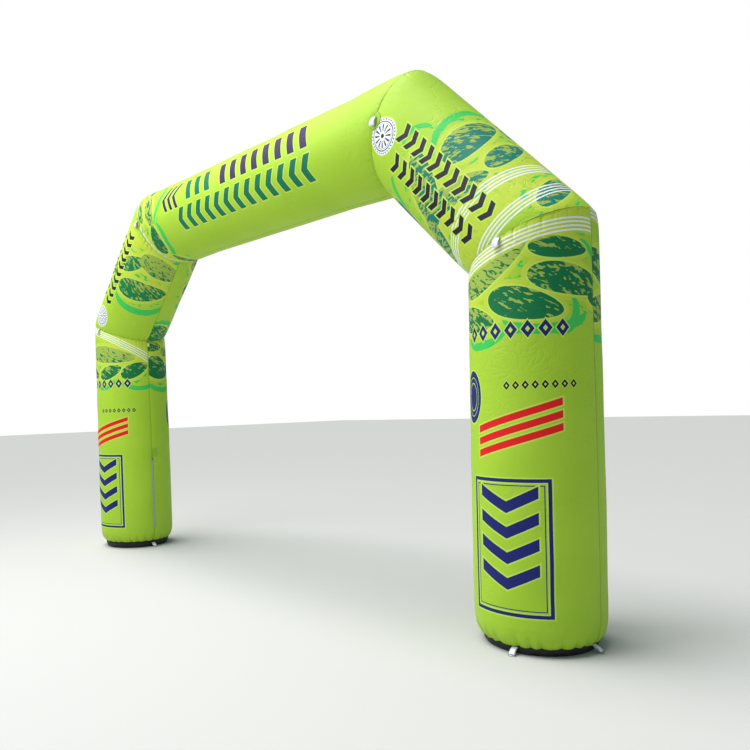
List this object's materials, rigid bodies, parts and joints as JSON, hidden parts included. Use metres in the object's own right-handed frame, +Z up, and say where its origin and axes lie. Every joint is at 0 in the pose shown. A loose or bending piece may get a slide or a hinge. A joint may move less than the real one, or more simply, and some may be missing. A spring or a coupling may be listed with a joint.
{
  "type": "inflatable arch",
  "caption": "Inflatable entrance arch: an air-filled cloth tube with mitred shoulders on gathered feet, with zips, webbing tie loops and ground rings.",
  "frame": {"origin": "on the ground, midway between the two feet", "axes": "+X along the span, from the left foot to the right one as seen from the front; -Y towards the front; +Z up"},
  "size_m": [6.148, 0.8472, 3.9286],
  "materials": {
    "printed_cloth": "satin printed polyester, lime green, taut over air",
    "ground_cloth": "heavy black coated cloth",
    "webbing": "white woven polyester webbing",
    "zip_tape": "pale grey-blue tape with a moulded coil",
    "zip_metal": "dark satin metal",
    "ring_steel": "bent steel wire"
  },
  "bodies": {
    "root": {"base_left": "ground_cloth", "base_right": "ground_cloth", "beam_back": "printed_cloth", "beam_front": "printed_cloth", "ground_loop_left_inner": "webbing", "ground_loop_left_outer": "webbing", "ground_loop_right_front": "webbing", "ground_loop_right_inner": "webbing", "ground_loop_right_outer": "webbing", "leg_left_back": "printed_cloth", "leg_left_front": "printed_cloth", "leg_right_back": "printed_cloth", "leg_right_front": "printed_cloth", "patch_left_back": "printed_cloth", "patch_left_front": "printed_cloth", "patch_right_back": "printed_cloth", "patch_right_front": "printed_cloth", "ring_left_inner": "ring_steel", "ring_left_outer": "ring_steel", "ring_right_front": "ring_steel", "ring_right_inner": "ring_steel", "ring_right_outer": "ring_steel", "shoulder_left_back": "printed_cloth", "shoulder_left_front": "printed_cloth", "shoulder_right_back": "printed_cloth", "shoulder_right_front": "printed_cloth", "tab_left": "webbing", "tab_right": "webbing", "tie_corner_left_back": "webbing", "tie_corner_left_front": "webbing", "tie_corner_right_back": "webbing", "tie_corner_right_front": "webbing", "tie_knee_left_back": "webbing", "tie_knee_left_front": "webbing", "tie_knee_right_back": "webbing", "tie_knee_right_front": "webbing", "zip_left": "zip_tape", "zip_patch_left": "printed_cloth", "zip_patch_right": "printed_cloth", "zip_right": "zip_tape", "zip_slider_left": "zip_metal", "zip_slider_right": "zip_metal"}
  },
  "joints": []
}
